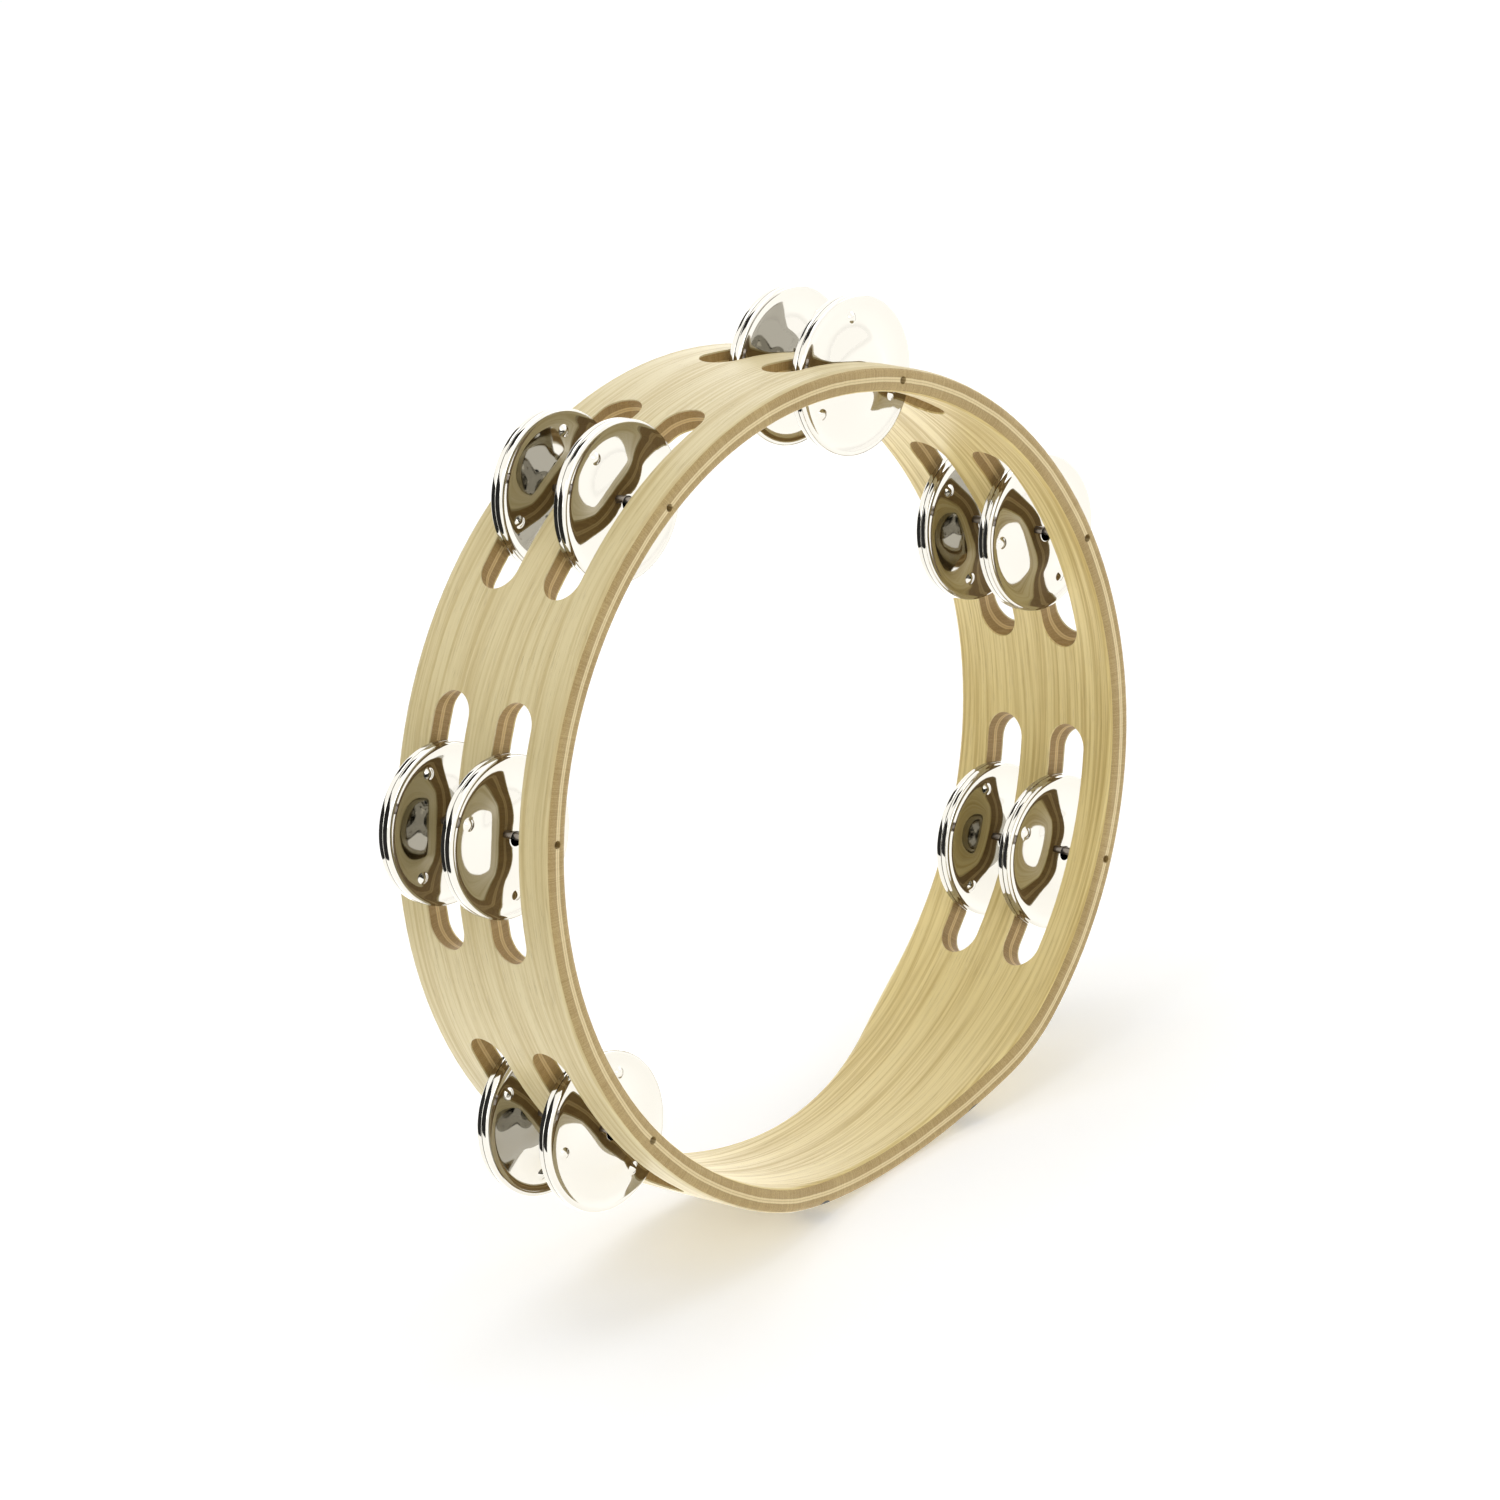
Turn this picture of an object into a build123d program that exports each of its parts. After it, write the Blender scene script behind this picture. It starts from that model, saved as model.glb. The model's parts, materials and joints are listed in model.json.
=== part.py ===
"""Headless two-row tambourine: a laminated hoop with a narrowed grip and 24 jingle discs.

Frame: the hoop stands upright with its axis along Y, the front rim towards -Y and the grip
straight down. The origin is at the lowest point of the grip, midway between the rims.
All dimensions are in millimetres.
"""
import os
from math import asin, cos, degrees, radians, sin

from build123d import *

os.makedirs("parts", exist_ok=True)

# Hoop: two bent three-ply strips glued face to face
HOOP_RADIUS = 127.0
HOOP_WIDTH = 63.0
FACE_PLY = 0.5
CORE_PLY = 2.6
GLUE_PLY = 0.7
HOOP_WALL = 2 * (FACE_PLY + CORE_PLY + GLUE_PLY)
RIM_ROUNDING = 2.0
INNER_RADIUS = HOOP_RADIUS - HOOP_WALL
MIDDLE_RADIUS = HOOP_RADIUS - HOOP_WALL / 2

# Grip: both rims are scooped out over the gap between the two lowest stations
GRIP_DEPTH = 8.6
GRIP_ARC = 190.0
GRIP_BLEND = 85.0
GRIP_HEIGHT = 60.0
GRIP_REACH = 90.0

# Stations: one pin each, with a slot in both rows
STATIONS = 6
STATION_PITCH = 49.15
FIRST_STATION = 90 - STATION_PITCH * (STATIONS - 1) / 2
ROW_OFFSET = 12.7
SLOT_LENGTH = 76.4
SLOT_WIDTH = 14.0

# Pins, pushed in along the glue line from the front rim
PIN_DIAMETER = 2.4
PIN_CLEARANCE = 0.02
PIN_RECESS = 2.5
PIN_CHAMFER = 0.3
PIN_LENGTH = HOOP_WIDTH - 2 * PIN_RECESS

# Jingle discs: pressed pans, domed outwards, wall turned towards the partner
DISC_RADIUS = 24.2
DISC_SHEET = 0.6
DISC_HOLE = 4.4
PAN_HEIGHT = 2.3
PAN_BEND = 0.55
CENTRE_GAP = 0.1
CROWN_RADIUS = 7.8
DOME_RADIUS = 16.4
VALLEY_RADIUS = 20.3
VALLEY_DEPTH = 0.7
DOME_HEIGHT = 2.8
DOME_BEND = 20.0
VALLEY_BEND = 5.0
PIP_COUNT = 3
PIP_CIRCLE = 17.6
PIP_HEIGHT = 0.8
PIP_RADIUS = 1.8
HANG_GAP = 0.1
HANG = (DISC_HOLE - PIN_DIAMETER) / 2 - HANG_GAP
SPIN_START = 17.0
SPIN_STEP = 38.0

# Pairs rest with their back dome beside the back wall of the slot
WALL_GAP = 0.15
CROWN_TOP = PAN_HEIGHT - VALLEY_DEPTH + DOME_HEIGHT
PAIR_SHIFT = SLOT_WIDTH / 2 - CROWN_TOP - WALL_GAP

# Black inlays in the outer face of the grip, at the front rim
INLAY_ANGLE = 15.7
INLAY_CHORD = 6.4
INLAY_DEPTH = 1.4
INLAY_LENGTH = 9.0

CENTRE = (0, 0, HOOP_RADIUS)
RING_PLANE = Plane(origin=CENTRE, x_dir=(1, 0, 0), z_dir=(0, -1, 0))
ROWS = {"front": -ROW_OFFSET, "back": ROW_OFFSET}


def finish(piece, name):
    """Labels a finished piece and writes it as its own STEP file."""
    piece.part.label = name
    export_step(piece.part, f"parts/{name}.step")
    print(name, round(piece.part.volume, 1))


def station_angle(number):
    """Angle of a station about the hoop's axis, from +X towards +Z."""
    return FIRST_STATION + STATION_PITCH * (number - 1)


def on_ring(angle, radius, y):
    """A point at an angle and radius about the hoop's axis."""
    x = radius * cos(radians(angle))
    z = HOOP_RADIUS + radius * sin(radians(angle))
    return (x, y, z)


def slot_plane(angle, row_y):
    """The plane square to the wall at a station, its x along the hoop."""
    radial = (cos(radians(angle)), 0, sin(radians(angle)))
    tangent = (-sin(radians(angle)), 0, cos(radians(angle)))
    return Plane(origin=on_ring(angle, MIDDLE_RADIUS, row_y), x_dir=tangent, z_dir=radial)


# ---- Hoop blank: bent ring, scooped grip and rounded rims, before slots and pin holes
with BuildPart() as hoop_blank:
    with BuildSketch(RING_PLANE):
        Circle(HOOP_RADIUS)
        Circle(INNER_RADIUS, mode=Mode.SUBTRACT)
    extrude(amount=HOOP_WIDTH / 2, both=True)
    with BuildSketch(Plane.XY.offset(-1)) as grip_outline:
        with Locations((0, -HOOP_WIDTH / 2 + GRIP_DEPTH - GRIP_ARC)):
            Circle(GRIP_ARC)
        with Locations((0, -HOOP_WIDTH / 2)):
            Rectangle(2 * GRIP_REACH, 2 * GRIP_DEPTH, align=(Align.CENTER, Align.MAX))
        on_rim = [v for v in grip_outline.vertices() if abs(v.Y + HOOP_WIDTH / 2) < 0.01]
        inner_corners = [v for v in on_rim if abs(v.X) < GRIP_REACH - 1]
        fillet(inner_corners, GRIP_BLEND)
        mirror(about=Plane.XZ)
    extrude(amount=GRIP_HEIGHT, mode=Mode.SUBTRACT)
    rim_edges = hoop_blank.edges().filter_by(lambda e: e.geom_type != GeomType.LINE)
    fillet(rim_edges, RIM_ROUNDING)

# ---- Inlays: two black strips whose round backs sit in the outer face of the grip
inlay_radius = (INLAY_CHORD**2 / 4 + INLAY_DEPTH**2) / (2 * INLAY_DEPTH)
inlay_axis_radius = HOOP_RADIUS - INLAY_DEPTH + inlay_radius
inlay_centres = [on_ring(-90 + side * INLAY_ANGLE, inlay_axis_radius, 0) for side in (-1, 1)]
inlay_start = HOOP_WIDTH / 2 - GRIP_DEPTH - INLAY_LENGTH
with BuildPart() as inlay_rods:
    with BuildSketch(Plane.XZ.offset(inlay_start)):
        with Locations(*[(x, z) for x, y, z in inlay_centres]):
            Circle(inlay_radius)
    extrude(amount=INLAY_LENGTH + GRIP_DEPTH)

with BuildPart() as grip_inlays:
    add(hoop_blank.part)
    add(inlay_rods.part, mode=Mode.INTERSECT)
finish(grip_inlays, "grip_inlays")

# ---- Hoop: the blank with its slots, pin holes and inlay grooves
with BuildPart() as hoop:
    add(hoop_blank.part)
    for number in range(1, STATIONS + 1):
        for row_y in ROWS.values():
            with BuildSketch(slot_plane(station_angle(number), row_y)):
                SlotOverall(SLOT_LENGTH, SLOT_WIDTH)
            extrude(amount=3 * HOOP_WALL, both=True, mode=Mode.SUBTRACT)
    with BuildSketch(RING_PLANE):
        with PolarLocations(MIDDLE_RADIUS, STATIONS, FIRST_STATION, STATION_PITCH * STATIONS):
            Circle(PIN_DIAMETER / 2 + PIN_CLEARANCE)
    extrude(amount=HOOP_WIDTH, both=True, mode=Mode.SUBTRACT)
    add(inlay_rods.part, mode=Mode.SUBTRACT)

# ---- Plies: the hoop divided along its glue lines, from the outer face inwards
ply_stack = {
    "outer_face_veneer": FACE_PLY,
    "outer_core_ply": CORE_PLY,
    "outer_glue_veneer": GLUE_PLY,
    "inner_glue_veneer": GLUE_PLY,
    "inner_core_ply": CORE_PLY,
    "inner_face_veneer": FACE_PLY,
}
ply_outside = HOOP_RADIUS
for ply_name, ply_thickness in ply_stack.items():
    ply_inside = ply_outside - ply_thickness
    with BuildPart() as ply_shell:
        with BuildSketch(RING_PLANE):
            Circle(ply_outside)
            Circle(ply_inside, mode=Mode.SUBTRACT)
        extrude(amount=HOOP_WIDTH, both=True)
    with BuildPart() as ply:
        add(hoop.part)
        add(ply_shell.part, mode=Mode.INTERSECT)
    finish(ply, ply_name)
    ply_outside = ply_inside

# ---- Pins: one through both rows at each station
for number in range(1, STATIONS + 1):
    with BuildPart() as pin:
        angle = station_angle(number)
        pin_centre = on_ring(angle, MIDDLE_RADIUS, 0)
        with BuildSketch(Plane(origin=pin_centre, x_dir=(1, 0, 0), z_dir=(0, -1, 0))):
            Circle(PIN_DIAMETER / 2)
        extrude(amount=PIN_LENGTH / 2, both=True)
        chamfer(pin.edges().filter_by(GeomType.CIRCLE), PIN_CHAMFER)
    finish(pin, f"pin_{number}")

# ---- Jingle blank: one disc about local Z, its partner below, its dome above
plate_height = PAN_HEIGHT - DISC_SHEET / 2
valley_height = plate_height - VALLEY_DEPTH
crown_height = valley_height + DOME_HEIGHT
wall_radius = DISC_RADIUS - DISC_SHEET / 2
with BuildPart() as jingle_blank:
    with BuildSketch(Plane.XZ):
        with BuildLine():
            FilletPolyline(
                (DISC_HOLE / 2, crown_height),
                (CROWN_RADIUS, crown_height),
                (DOME_RADIUS, valley_height),
                (VALLEY_RADIUS, valley_height),
                (wall_radius, plate_height),
                (wall_radius, CENTRE_GAP),
                radius=[DOME_BEND, DOME_BEND, VALLEY_BEND, PAN_BEND],
            )
        trace(line_width=DISC_SHEET)
    revolve(axis=Axis.Z)
    pip_ball = (PIP_RADIUS**2 + PIP_HEIGHT**2) / (2 * PIP_HEIGHT)
    pip_centre = valley_height + DISC_SHEET / 2 + PIP_HEIGHT - pip_ball
    pip_root = degrees(asin((valley_height - pip_centre) / pip_ball))
    with Locations((0, 0, pip_centre)):
        with PolarLocations(PIP_CIRCLE, PIP_COUNT):
            Sphere(pip_ball, arc_size1=pip_root, align=None)
            Sphere(pip_ball - DISC_SHEET, mode=Mode.SUBTRACT)

# ---- Jingles: a pair in each slot, hanging on the pin with their walls facing each other
disc_count = 0
for number in range(1, STATIONS + 1):
    for row_name, row_y in ROWS.items():
        x, y, z = on_ring(station_angle(number), MIDDLE_RADIUS, row_y + PAIR_SHIFT)
        for side_name, outward in {"a": -1, "b": 1}.items():
            spin = SPIN_START + SPIN_STEP * disc_count
            spun = (cos(radians(spin)), 0, sin(radians(spin)))
            with BuildPart() as jingle:
                with Locations(Plane(origin=(x, y, z - HANG), x_dir=spun, z_dir=(0, outward, 0))):
                    add(jingle_blank.part)
            finish(jingle, f"jingle_{number}_{row_name}_{side_name}")
            disc_count += 1
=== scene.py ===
# %% [markdown]
# # A two-row wooden tambourine
# The instrument is a hoop bent from two strips of plywood, with six steel pins along its glue
# line and twenty-four pressed jingles that hang on them in pairs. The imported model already
# holds every piece at its true size. Blender adds the wood, the plating and the fine shape of
# the pressings.

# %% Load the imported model
import bpy
import json
from math import cos, pi, radians, sin
from mathutils import Matrix, Vector


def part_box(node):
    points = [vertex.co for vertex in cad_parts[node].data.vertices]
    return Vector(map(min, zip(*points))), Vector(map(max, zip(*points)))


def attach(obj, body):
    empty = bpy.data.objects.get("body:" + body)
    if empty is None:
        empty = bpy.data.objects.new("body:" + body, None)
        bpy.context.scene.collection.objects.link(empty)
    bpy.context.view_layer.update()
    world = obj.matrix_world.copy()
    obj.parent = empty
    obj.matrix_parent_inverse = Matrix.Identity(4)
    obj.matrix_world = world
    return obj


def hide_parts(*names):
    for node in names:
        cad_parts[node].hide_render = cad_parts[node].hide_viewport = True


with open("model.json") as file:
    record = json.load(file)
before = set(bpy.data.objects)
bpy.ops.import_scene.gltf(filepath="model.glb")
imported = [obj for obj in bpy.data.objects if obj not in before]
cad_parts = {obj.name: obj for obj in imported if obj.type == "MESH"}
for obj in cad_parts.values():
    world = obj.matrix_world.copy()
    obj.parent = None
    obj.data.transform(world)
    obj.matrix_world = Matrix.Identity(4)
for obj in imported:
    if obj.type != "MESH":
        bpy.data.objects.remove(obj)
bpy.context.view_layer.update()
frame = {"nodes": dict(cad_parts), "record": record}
bpy.ops.object.select_all(action="DESELECT")
MM = 0.001

# %% [markdown]
# ## Camera
# A long lens from well back keeps the hoop's ellipse nearly free of perspective. The hoop is
# looked at from its front left and a little above. It is leant over about its own axis, so
# the grip sits low on the right: the camera is rolled rather than the object turned, because
# the object stands with its grip straight down.

# %% Place the camera
outer_low, outer_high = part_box("outer_face_veneer")
hoop_centre = (Vector(outer_low) + Vector(outer_high)) / 2
CAMERA_LENS = 187.5
CAMERA_SENSOR = 36.0
CAMERA_DISTANCE = 2.335
CAMERA_AZIMUTH = radians(-43.6)
CAMERA_ELEVATION = radians(22.3)
CAMERA_ROLL = radians(10.3)
AIM_RIGHT = -6.7 * MM
AIM_UP = 8.1 * MM

camera_data = bpy.data.cameras.new("camera")
camera_data.lens = CAMERA_LENS
camera_data.sensor_width = CAMERA_SENSOR
camera_data.clip_end = 50.0
camera = bpy.data.objects.new("camera", camera_data)
bpy.context.collection.objects.link(camera)
towards_camera = Vector((
    sin(CAMERA_AZIMUTH) * cos(CAMERA_ELEVATION),
    -cos(CAMERA_AZIMUTH) * cos(CAMERA_ELEVATION),
    sin(CAMERA_ELEVATION),
))
level_right = Vector((cos(CAMERA_AZIMUTH), sin(CAMERA_AZIMUTH), 0))
level_up = towards_camera.cross(level_right)
camera_right = level_right * cos(CAMERA_ROLL) - level_up * sin(CAMERA_ROLL)
camera_up = level_up * cos(CAMERA_ROLL) + level_right * sin(CAMERA_ROLL)
turn = Matrix((camera_right, camera_up, towards_camera)).transposed()
aim = hoop_centre + camera_right * AIM_RIGHT + camera_up * AIM_UP
camera.matrix_world = Matrix.Translation(aim + towards_camera * CAMERA_DISTANCE) @ turn.to_4x4()
bpy.context.scene.camera = camera
print("camera at", [round(c, 3) for c in camera.location])

# %% [markdown]
# ## Studio
# Polished nickel shows nothing but its surroundings, so the studio is what makes the jingles
# look like metal. A pale floor and large soft lights keep the wood evenly lit, and the floor
# and the room are brighter in reflections than they are as light. Three dark cards, one at the
# back left, one low between it and the hoop, and one high behind the hoop, are seen only in
# reflections. They put black lines on the walls of the jingles.

# %% Floor
FLOOR_SIZE = 24.0
FLOOR_GLOW = 0.22
FLOOR_GLOW_IN_REFLECTIONS = 1.45
MIX_FACTOR, MIX_FIRST, MIX_SECOND, MIX_COLOUR = 0, 6, 7, 2

bpy.ops.mesh.primitive_plane_add(size=FLOOR_SIZE, location=(0, 0, 0))
floor = bpy.context.object
floor.name = "floor"
floor_paint = bpy.data.materials.new("floor_paint")
floor_paint.use_nodes = True
floor_shader = floor_paint.node_tree.nodes["Principled BSDF"]
floor_shader.inputs["Base Color"].default_value = (0.93, 0.93, 0.93, 1)
floor_shader.inputs["Roughness"].default_value = 0.7
floor_shader.inputs["Emission Strength"].default_value = 1.0
light_path = floor_paint.node_tree.nodes.new("ShaderNodeLightPath")
glow = floor_paint.node_tree.nodes.new("ShaderNodeMix")
glow.data_type = "RGBA"
glow.inputs[MIX_FIRST].default_value = (*[FLOOR_GLOW] * 3, 1)
glow.inputs[MIX_SECOND].default_value = (*[FLOOR_GLOW_IN_REFLECTIONS] * 3, 1)
floor_links = floor_paint.node_tree.links
floor_links.new(light_path.outputs["Is Glossy Ray"], glow.inputs[MIX_FACTOR])
floor_links.new(glow.outputs[MIX_COLOUR], floor_shader.inputs["Emission Color"])
floor.data.materials.append(floor_paint)
print("floor", FLOOR_SIZE, "m square")


# %% Lights
def soft_light(name, place, size, power):
    """Adds a square soft light, in metres and watts, that faces the hoop."""
    data = bpy.data.lights.new(name, "AREA")
    data.shape = "SQUARE"
    data.size = size
    data.energy = power
    lamp = bpy.data.objects.new(name, data)
    lamp.location = place
    lamp.rotation_mode = "QUATERNION"
    lamp.rotation_quaternion = (Vector(place) - hoop_centre).to_track_quat("Z", "Y")
    bpy.context.collection.objects.link(lamp)


soft_light("top_light", (0.2, 0.3, 2.6), 2.2, 24)
soft_light("left_light", (-2.6, 0.4, 1.5), 1.6, 15)
soft_light("right_light", (2.4, -1.2, 1.6), 1.4, 11)
soft_light("front_light", (-0.9, -3.2, 1.7), 1.2, 14)


# %% Dark cards
CARD_COLOUR = (0.01, 0.01, 0.01, 1)
CARD_ROUGHNESS = 0.9


def dark_card(name, place, size):
    """Adds a black card that faces the hoop and is seen only in reflections."""
    turned = (Vector(place) - hoop_centre).to_track_quat("Z", "Y").to_euler()
    bpy.ops.mesh.primitive_plane_add(size=size, location=place, rotation=turned)
    card = bpy.context.object
    card.name = name
    card.visible_camera = False
    card.visible_diffuse = False
    card.visible_shadow = False
    black = bpy.data.materials.new(name)
    black.use_nodes = True
    shader = black.node_tree.nodes["Principled BSDF"]
    shader.inputs["Base Color"].default_value = CARD_COLOUR
    shader.inputs["Roughness"].default_value = CARD_ROUGHNESS
    card.data.materials.append(black)


dark_card("low_card", (-0.42, 0.42, 0.13), 0.60)
dark_card("floor_card", (-0.28, 0.32, 0.002), 0.56)
dark_card("high_card", (-0.02, 0.56, 0.72), 0.30)

# %% The room's own light
ROOM_LIGHT = 0.42
ROOM_LIGHT_IN_REFLECTIONS = 2.3

world = bpy.data.worlds.new("studio")
bpy.context.scene.world = world
world.use_nodes = True
world_light = world.node_tree.nodes["Background"]
world_light.inputs["Color"].default_value = (1, 1, 1, 1)
world_path = world.node_tree.nodes.new("ShaderNodeLightPath")
world_glow = world.node_tree.nodes.new("ShaderNodeMapRange")
world_glow.inputs["To Min"].default_value = ROOM_LIGHT
world_glow.inputs["To Max"].default_value = ROOM_LIGHT_IN_REFLECTIONS
world.node_tree.links.new(world_path.outputs["Is Glossy Ray"], world_glow.inputs["Value"])
world.node_tree.links.new(world_glow.outputs[0], world_light.inputs["Strength"])
bpy.context.scene.view_settings.view_transform = "Standard"
print("room light", ROOM_LIGHT, "and in reflections", ROOM_LIGHT_IN_REFLECTIONS)


# %% [markdown]
# ## Sums in a node tree
# Wood is many small patterns added and masked, which is clearer as arithmetic than as a web
# of Math nodes. One small class stands for an output socket and turns +, -, * and abs() into
# Math nodes. Every other node comes from the recipe's one method.

# %% Wires and recipes
class Wire:
    """An output socket that can be used in sums."""

    def __init__(self, recipe, socket):
        self.recipe = recipe
        self.socket = socket

    def sum(self, operation, left, right):
        return self.recipe.node("ShaderNodeMath", {"operation": operation}, {0: left, 1: right})

    def __abs__(self):
        return self.recipe.node("ShaderNodeMath", {"operation": "ABSOLUTE"}, {0: self})

    def __add__(self, other):
        return self.sum("ADD", self, other)

    def __radd__(self, other):
        return self.sum("ADD", other, self)

    def __sub__(self, other):
        return self.sum("SUBTRACT", self, other)

    def __rsub__(self, other):
        return self.sum("SUBTRACT", other, self)

    def __mul__(self, other):
        return self.sum("MULTIPLY", self, other)

    def __rmul__(self, other):
        return self.sum("MULTIPLY", other, self)


class Recipe:
    """A material under construction."""

    def __init__(self, name):
        self.material = bpy.data.materials.new(name)
        self.material.use_nodes = True
        self.tree = self.material.node_tree
        self.shader = self.tree.nodes["Principled BSDF"]

    def node(self, kind, settings, inputs, output=0):
        """Adds a node: its settings first, then the values or links of its sockets."""
        made = self.tree.nodes.new(kind)
        for key, value in settings.items():
            if key == "stops":
                ramp = made.color_ramp
                while len(ramp.elements) < len(value):
                    ramp.elements.new(0.5)
                for element, (place, colour) in zip(ramp.elements, value):
                    element.position = place
                    element.color = colour
            else:
                setattr(made, key, value)
        for key, value in inputs.items():
            if isinstance(value, Wire):
                self.tree.links.new(value.socket, made.inputs[key])
            else:
                made.inputs[key].default_value = value
        return Wire(self, made.outputs[output])

    def place(self):
        """Object coordinates, measured from the hoop's centre."""
        coordinates = self.node("ShaderNodeTexCoord", {}, {}, "Object")
        return self.vector("SUBTRACT", coordinates, tuple(hoop_centre))

    def vector(self, operation, first, second=(0, 0, 0), output="Vector"):
        """A sum on vectors."""
        sockets = {0: first, 1: second}
        return self.node("ShaderNodeVectorMath", {"operation": operation}, sockets, output)

    def noise(self, where, scale=1.0, detail=2.0, roughness=0.5):
        """Noise from 0 to 1 with its middle at 0.5."""
        sockets = {"Vector": where, "Scale": scale, "Detail": detail, "Roughness": roughness}
        return self.node("ShaderNodeTexNoise", {}, sockets, 0)

    def fade(self, value, start, end):
        """0 below start and 1 above end, with a smooth step between. Start may be the larger."""
        sockets = {"Value": value, "From Min": start, "From Max": end}
        settings = {"interpolation_type": "SMOOTHSTEP"}
        return self.node("ShaderNodeMapRange", settings, sockets, 0)

    def mix(self, factor, first, second, blend="MIX"):
        """Mixes two colours."""
        settings = {"data_type": "RGBA", "blend_type": blend}
        sockets = {MIX_FACTOR: factor, MIX_FIRST: first, MIX_SECOND: second}
        return self.node("ShaderNodeMix", settings, sockets, MIX_COLOUR)

    def bump(self, height, depth):
        """Small relief, depth metres from the lowest height to the highest."""
        sockets = {"Height": height, "Distance": depth, "Strength": 1.0}
        return self.node("ShaderNodeBump", {}, sockets, "Normal")

    def finish(self, constants, links):
        """Sets the shader's plain values and links its varying ones."""
        for key, value in constants.items():
            self.shader.inputs[key].default_value = value
        for key, wire in links.items():
            self.tree.links.new(wire.socket, self.shader.inputs[key])
        return self.material


# %% [markdown]
# ## Face veneer
# Both faces of the hoop are a pale sliced veneer whose grain runs round the hoop. Scaling the
# pattern up along the hoop's axis and down round it stretches noise into grain, and because it
# reads X and Z rather than an angle, there is no seam where the angle would wrap.

# %% Make the face veneer
WANDER = 12 * MM
GRAIN_RELIEF = 0.12 * MM


def grain_space(recipe, along, across):
    """Coordinates stretched round the hoop, with lines that wander a little."""
    place = recipe.place()
    drift = recipe.noise(recipe.vector("MULTIPLY", place, (7, 18, 7)), 1.0, 2.0) - 0.5
    y = recipe.node("ShaderNodeSeparateXYZ", {}, {0: place}, 1)
    wandered = (y + drift * WANDER) * across
    flat = recipe.vector("MULTIPLY", place, (along, 0, along))
    lift = recipe.node("ShaderNodeCombineXYZ", {}, {1: wandered}, 0)
    return recipe.vector("ADD", flat, lift)


def face_veneer(name, light, dark, contrast):
    """Wide bands, fine lines and short dark pores, all drawn along the grain."""
    recipe = Recipe(name)
    bands = recipe.noise(grain_space(recipe, 5, 150), 1.0, 3.0, 0.55)
    lines = recipe.noise(grain_space(recipe, 16, 900), 1.0, 3.0, 0.6)
    pores = recipe.noise(grain_space(recipe, 130, 3600), 1.0, 2.0, 0.6)
    streaks = recipe.fade(bands * 0.35 + lines * 0.65, 0.40, 0.64)
    dashes = recipe.fade(pores, 0.60, 0.74)
    colour = recipe.mix(streaks * contrast, light, dark)
    pore_colour = (dark[0] * 0.62, dark[1] * 0.55, dark[2] * 0.45, 1)
    colour = recipe.mix(dashes * 0.32, colour, pore_colour)
    relief = recipe.bump(lines * 0.5 - dashes * 0.5, GRAIN_RELIEF)
    roughness = 0.40 + streaks * 0.12
    lacquer = {"Coat Weight": 0.12, "Coat Roughness": 0.3}
    return recipe.finish(lacquer, {"Base Color": colour, "Roughness": roughness, "Normal": relief})


outer_veneer = face_veneer("outer_veneer", (0.64, 0.54, 0.285, 1), (0.47, 0.36, 0.15, 1), 0.8)
inner_veneer = face_veneer("inner_veneer", (0.80, 0.655, 0.29, 1), (0.53, 0.385, 0.12, 1), 0.95)


# %% [markdown]
# ## Plywood edge
# On the rims and in the slots the plies show end-on: tan cores, and between them the two pale
# inner veneers with the glue line that joins the two bent strips. The colour comes from the
# distance to the hoop's axis, nudged by noise so that no line is perfectly even. The slots
# were cut by a router, which leaves their walls browner than the sanded rims. The slot walls
# also carry painted shade, which darkens them as the shade inside the recess would.

# %% Make the plywood edge
GLUE_LINE = 123.2 * MM
PALE_HALF = 0.72 * MM
SLOT_ZONE = 21.0 * MM
PLY_SWAY = 0.5 * MM
PLY_FRAY = 0.22 * MM
EDGE_RELIEF = 0.15 * MM
CORE_LIGHT, CORE_DARK = (0.46, 0.335, 0.135, 1), (0.30, 0.20, 0.068, 1)
PALE_LIGHT, PALE_DARK = (0.80, 0.68, 0.40, 1), (0.62, 0.47, 0.22, 1)
GLUE_COLOUR = (0.27, 0.17, 0.07, 1)
SLOT_BURN_AND_SHADE = (0.80, 0.64, 0.36, 1)


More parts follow.
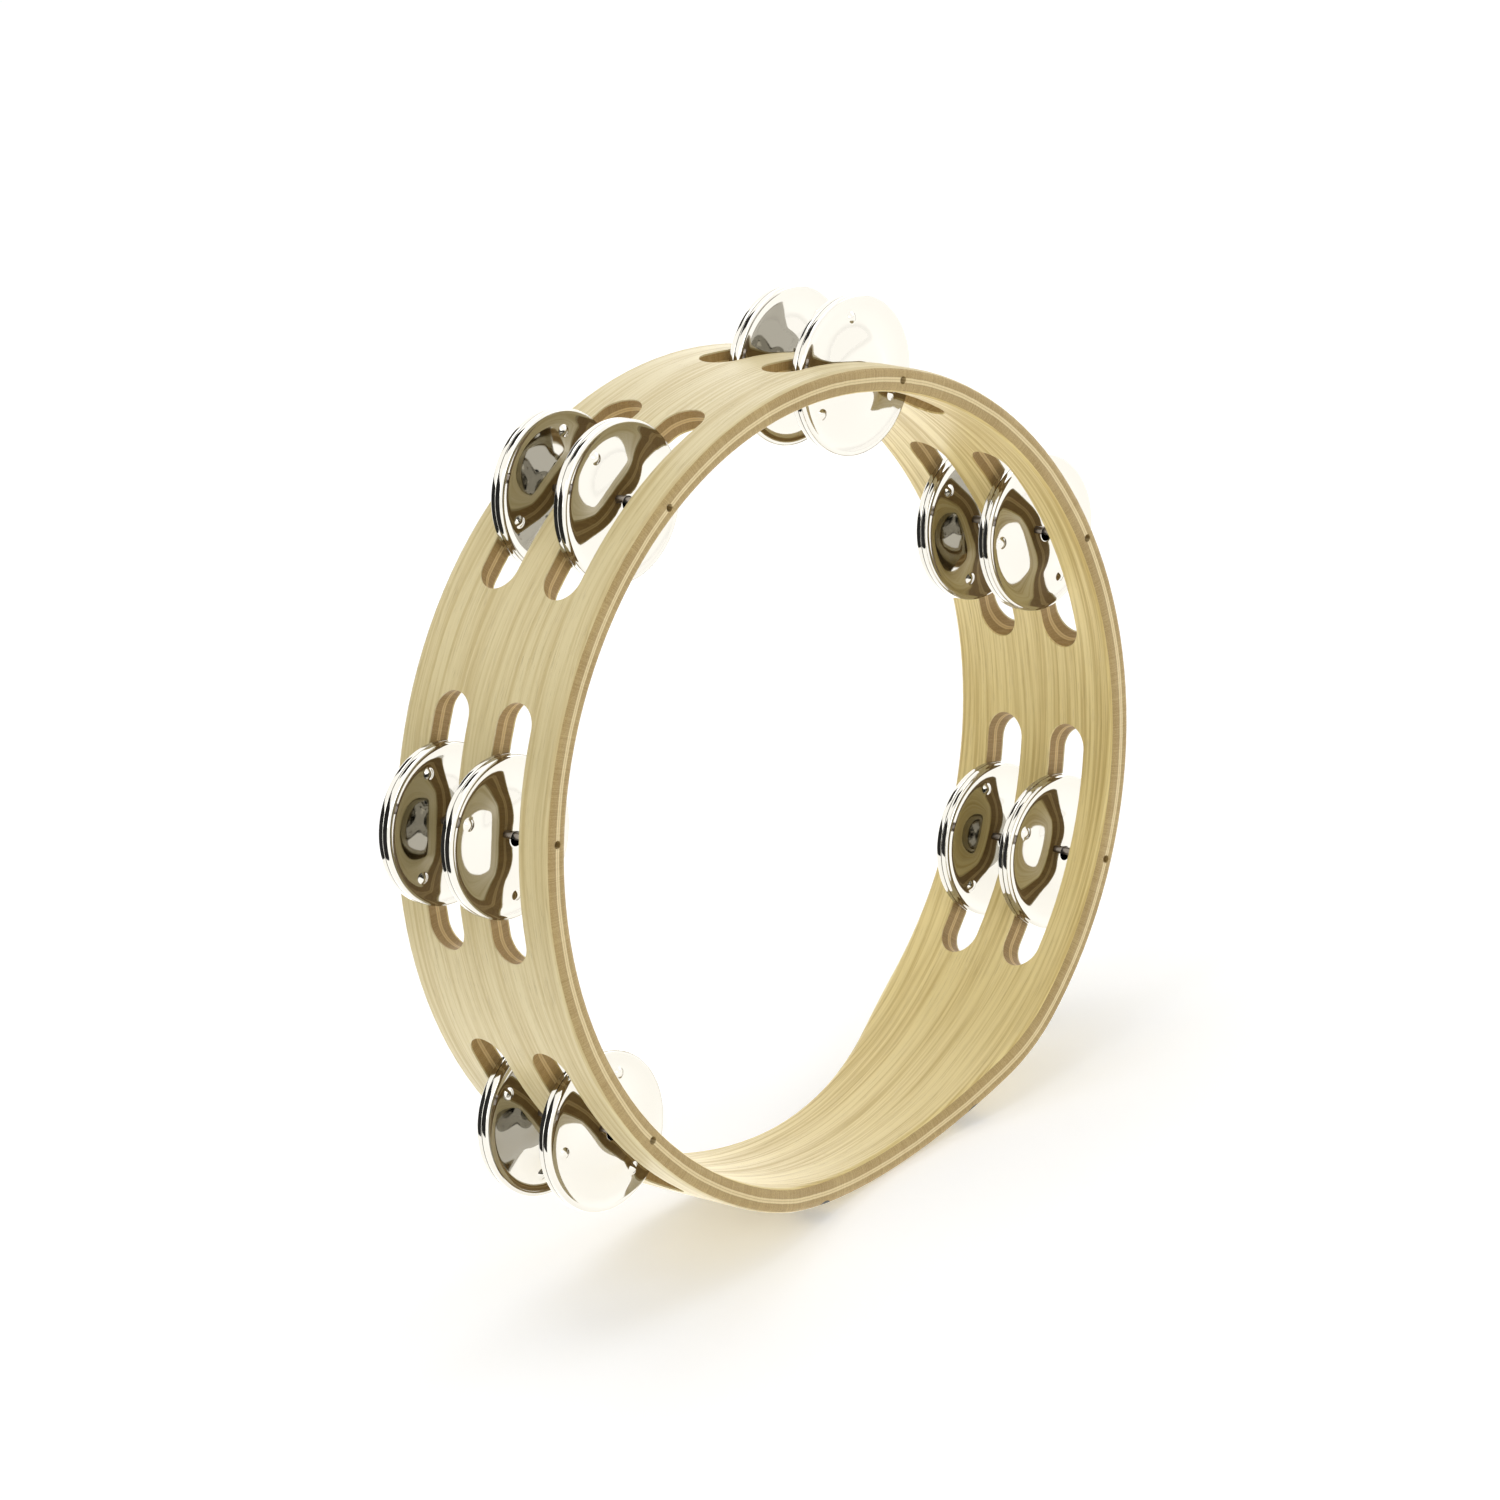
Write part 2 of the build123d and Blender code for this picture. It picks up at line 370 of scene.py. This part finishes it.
def plywood_edge():
    """Tan end grain, two pale veneers with a glue line between them, and slot walls made browner by
    router burn and darker by painted shade.
    """
    recipe = Recipe("plywood_edge")
    place = recipe.place()
    y = recipe.node("ShaderNodeSeparateXYZ", {}, {0: place}, 1)
    flat = recipe.vector("MULTIPLY", place, (1, 0, 1))
    radius = recipe.vector("LENGTH", flat, output="Value")
    direction = recipe.vector("NORMALIZE", flat)
    sway = recipe.noise(recipe.vector("MULTIPLY", direction, (9, 9, 9)), 1.0, 3.0) - 0.5
    fray = recipe.noise(recipe.vector("MULTIPLY", direction, (190, 190, 190)), 1.0, 2.0) - 0.5
    from_glue = abs(radius + sway * PLY_SWAY + fray * PLY_FRAY - GLUE_LINE)
    pale = recipe.fade(from_glue, PALE_HALF + 0.12 * MM, PALE_HALF - 0.12 * MM)
    glue = recipe.fade(from_glue, 0.16 * MM, 0.05 * MM)
    beside = recipe.fade(from_glue, PALE_HALF + 0.30 * MM, PALE_HALF + 0.05 * MM) - pale
    fibres = recipe.noise(recipe.vector("MULTIPLY", direction, (330, 330, 330)), 1.0, 3.0, 0.6)
    cells = recipe.noise(place, 2600, 2.0, 0.6)
    patches = recipe.noise(place, 55, 3.0, 0.6)
    tone = recipe.fade(fibres * 0.45 + cells * 0.3 + patches * 0.25, 0.36, 0.64)
    core = recipe.mix(tone, CORE_LIGHT, CORE_DARK)
    inner_pale = recipe.mix(fibres, PALE_LIGHT, PALE_DARK)
    colour = recipe.mix(pale, core, inner_pale)
    colour = recipe.mix(glue * 0.45 + beside * 0.35, colour, GLUE_COLOUR)
    # The slot walls are darkened partly for router burn and partly with painted shade for the recess.
    in_slot = recipe.fade(abs(y), SLOT_ZONE + 0.5 * MM, SLOT_ZONE - 0.5 * MM)
    colour = recipe.mix(in_slot * 0.62, colour, SLOT_BURN_AND_SHADE, "MULTIPLY")
    relief = recipe.bump(fibres * 0.5 + cells * 0.5, EDGE_RELIEF)
    lacquer = {"Coat Weight": 0.05, "Coat Roughness": 0.4}
    links = {"Base Color": colour, "Roughness": 0.52 + tone * 0.15, "Normal": relief}
    return recipe.finish(lacquer, links)


edge_wood = plywood_edge()


# %% [markdown]
# ## Metal and rubber
# The jingles are pressed steel with bright nickel: almost a mirror, a little warm, with the
# faint waviness of a pressing and fine rubbing marks. The pins are plain drawn wire and much
# duller. The inlays in the grip are matt black rubber.

# %% Make the metals and the rubber
NICKEL_RIPPLE = 0.02 * MM
RUBBER_GRAIN = 0.05 * MM


def bright_nickel():
    """Near-mirror plating with a slow ripple, haze and fine rubbing marks."""
    recipe = Recipe("bright_nickel")
    place = recipe.place()
    marks = recipe.noise(recipe.vector("MULTIPLY", place, (900, 300, 5000)), 1.0, 2.0)
    haze = recipe.noise(place, 60, 3.0)
    roughness = 0.035 + haze * 0.04 + recipe.fade(marks, 0.62, 0.80) * 0.05
    ripple = recipe.bump(recipe.noise(place, 160, 1.0), NICKEL_RIPPLE)
    plating = {"Base Color": (0.43, 0.415, 0.375, 1), "Metallic": 1.0}
    return recipe.finish(plating, {"Roughness": roughness, "Normal": ripple})


def drawn_wire():
    """Dull steel with streaks along the wire."""
    recipe = Recipe("drawn_wire")
    place = recipe.place()
    drawing = recipe.noise(recipe.vector("MULTIPLY", place, (3000, 60, 3000)), 1.0, 2.0)
    colour = recipe.mix(drawing, (0.42, 0.39, 0.36, 1), (0.22, 0.19, 0.17, 1))
    return recipe.finish({"Metallic": 1.0}, {"Base Color": colour, "Roughness": 0.25 + drawing * 0.2})


def black_rubber():
    """Matt black with a fine grain."""
    recipe = Recipe("black_rubber")
    grain = recipe.noise(recipe.place(), 2500, 2.0)
    colour = recipe.mix(grain, (0.006, 0.006, 0.007, 1), (0.014, 0.014, 0.015, 1))
    relief = recipe.bump(grain, RUBBER_GRAIN)
    return recipe.finish({}, {"Base Color": colour, "Roughness": 0.55 + grain * 0.2, "Normal": relief})


nickel = bright_nickel()
wire_steel = drawn_wire()
rubber = black_rubber()


# %% [markdown]
# ## The hoop, pins and inlays
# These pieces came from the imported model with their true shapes, so each keeps its mesh and
# gets its finish.

# %% Give the carried pieces their finishes
def dress(node_name, material):
    """Gives a carried-over piece one material."""
    piece = frame["nodes"][node_name]
    piece.data.materials.clear()
    piece.data.materials.append(material)


dress("outer_face_veneer", outer_veneer)
dress("inner_face_veneer", inner_veneer)
for ply_name in ("outer_core_ply", "outer_glue_veneer", "inner_glue_veneer", "inner_core_ply"):
    dress(ply_name, edge_wood)
dress("grip_inlays", rubber)
pin_names = [name for name in frame["nodes"] if name.startswith("pin_")]
for pin_name in pin_names:
    dress(pin_name, wire_steel)
print(len(pin_names), "pins dressed")

# %% [markdown]
# ## A jingle
# A jingle is one blank of sheet steel, pressed in a die like a shallow pan: a low dome round
# the hole, three raised pips near its foot, a shallow valley, a brim that rises again, and a
# wall that is turned back towards the partner. It could be spun from a thick outline, but a
# pressing has one thickness all over. So the middle of the sheet is drawn ring by ring as a
# thin skin, the pips are pushed out of it, and Solidify gives it the thickness of the steel,
# which also leaves the dents behind the pips.

# %% Draw the skin ring by ring
SHEET = 0.6 * MM
HOLE_RADIUS = 2.2 * MM
CROWN_RADIUS = 4.0 * MM
VALLEY_RADIUS = 20.3 * MM
VALLEY_DEPTH = 0.7 * MM
DOME_HEIGHT = 2.8 * MM
PAN_HEIGHT = 2.3 * MM
PAN_RADIUS = 24.2 * MM
PAN_BEND = 0.55 * MM
PAN_EDGE = 0.1 * MM
BRIM_CURVE = 1.4
RING_POINTS = 128
PLATE_STEPS = 34
BEND_STEPS = 5
PIPS = 3
PIP_CIRCLE = 17.6 * MM
PIP_HEIGHT = 0.85 * MM
PIP_REACH = 1.9 * MM
PIP_ZONE = 1.25 * PIP_REACH
FLAT_HEIGHT = PAN_HEIGHT - SHEET / 2
WALL_RADIUS = PAN_RADIUS - SHEET / 2
PLATE_END = WALL_RADIUS - PAN_BEND


def plate_height(radius):
    """Height of the middle of the sheet: a dome of two parabolas and a rising brim."""
    if radius > VALLEY_RADIUS:
        climb = (radius - VALLEY_RADIUS) / (PLATE_END - VALLEY_RADIUS)
        return FLAT_HEIGHT - VALLEY_DEPTH * (1 - climb**BRIM_CURVE)
    across = min((VALLEY_RADIUS - radius) / (VALLEY_RADIUS - CROWN_RADIUS), 1)
    rise = 2 * across**2 if across < 0.5 else 1 - 2 * (1 - across) ** 2
    return FLAT_HEIGHT - VALLEY_DEPTH + DOME_HEIGHT * rise


def skin_rings():
    """The radius and height of each ring from the hole to the edge of the wall."""
    rings = []
    for step in range(PLATE_STEPS + 1):
        radius = HOLE_RADIUS + step * (PLATE_END - HOLE_RADIUS) / PLATE_STEPS
        rings.append((radius, plate_height(radius)))
    for step in range(1, BEND_STEPS + 1):
        angle = step / BEND_STEPS * pi / 2
        rings.append((PLATE_END + PAN_BEND * sin(angle), FLAT_HEIGHT - PAN_BEND * (1 - cos(angle))))
    rings.append((WALL_RADIUS, PAN_EDGE))
    return rings


rings = skin_rings()
bpy.ops.mesh.primitive_circle_add(vertices=RING_POINTS, radius=rings[0][0], location=(0, 0, 0))
jingle = bpy.context.object
jingle.name = "jingle_pattern"
bpy.ops.object.mode_set(mode="EDIT")
bpy.ops.mesh.select_all(action="SELECT")
bpy.ops.transform.translate(value=(0, 0, rings[0][1]))
for (old_radius, old_height), (radius, height) in zip(rings, rings[1:]):
    bpy.ops.mesh.extrude_region_move()
    growth = radius / old_radius
    bpy.ops.transform.resize(value=(growth, growth, 1), center_override=(0, 0, 0))
    bpy.ops.transform.translate(value=(0, 0, height - old_height))
bpy.ops.mesh.select_all(action="SELECT")
bpy.ops.mesh.normals_make_consistent(inside=False)
bpy.ops.object.mode_set(mode="OBJECT")
print("skin:", len(jingle.data.vertices), "points in", len(rings), "rings")

# %% Raise the pips
pip_centres = [
    Vector((PIP_CIRCLE * cos(turn_angle), PIP_CIRCLE * sin(turn_angle), 0))
    for turn_angle in (2 * pi * number / PIPS for number in range(PIPS))
]


def flat_distance(point, centre):
    """Distance in the plane of the blank."""
    return (Vector((point.x, point.y, 0)) - centre).length


bpy.ops.object.mode_set(mode="EDIT")
bpy.ops.mesh.select_all(action="DESELECT")
bpy.ops.object.mode_set(mode="OBJECT")
for face in jingle.data.polygons:
    face.select = any(flat_distance(face.center, centre) < PIP_ZONE for centre in pip_centres)
bpy.ops.object.mode_set(mode="EDIT")
bpy.ops.mesh.subdivide(number_cuts=2)
bpy.ops.mesh.select_all(action="DESELECT")
bpy.ops.object.mode_set(mode="OBJECT")
for vertex in jingle.data.vertices:
    reach = min(flat_distance(vertex.co, centre) for centre in pip_centres) / PIP_REACH
    if reach < 1:
        vertex.co.z += PIP_HEIGHT * (1 - reach**2) ** 1.5
print("skin with pips:", len(jingle.data.vertices), "points")

# %% Give the skin its thickness and ease its two cut edges
EDGE_EASING = 0.14 * MM
thickness = jingle.modifiers.new("sheet", "SOLIDIFY")
thickness.thickness = SHEET
thickness.offset = 0
thickness.use_even_offset = True
bpy.ops.object.modifier_apply(modifier=thickness.name)
easing = jingle.modifiers.new("easing", "BEVEL")
easing.width = EDGE_EASING
easing.segments = 2
easing.limit_method = "ANGLE"
easing.angle_limit = radians(50)
bpy.ops.object.modifier_apply(modifier=easing.name)
bpy.ops.object.shade_smooth_by_angle(angle=radians(40))
jingle.data.materials.append(nickel)
print("jingle:", len(jingle.data.polygons), "faces")

# %% [markdown]
# ## Hanging the jingles
# Every jingle is a copy of the pattern with its own mesh, laid where its CAD piece is, with
# its dome away from its partner and turned by a different amount, as loose jingles are.

# %% Copy the jingle to its twenty-four places
SPIN_START = radians(17)
SPIN_STEP = radians(38)
jingle_names = [name for name in frame["record"]["behaviour"]["bodies"] if name.startswith("jingle_")]
for number, name in enumerate(jingle_names):
    low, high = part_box(name)
    outward = -1 if name.endswith("_a") else 1
    pair_y = high[1] + PAN_EDGE if outward < 0 else low[1] - PAN_EDGE
    spin = SPIN_START + SPIN_STEP * number
    across = Vector((cos(spin), 0, sin(spin)))
    out = Vector((0, outward, 0))
    turn = Matrix((across, out.cross(across), out)).transposed()
    spot = Vector(((low[0] + high[0]) / 2, pair_y, (low[2] + high[2]) / 2))
    mesh = jingle.data.copy()
    mesh.transform(Matrix.Translation(spot) @ turn.to_4x4())
    piece = bpy.data.objects.new(f"bright_{name}", mesh)
    bpy.context.collection.objects.link(piece)
    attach(piece, name)
    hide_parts(name)
bpy.data.objects.remove(jingle)
print(len(jingle_names), "jingles hung")
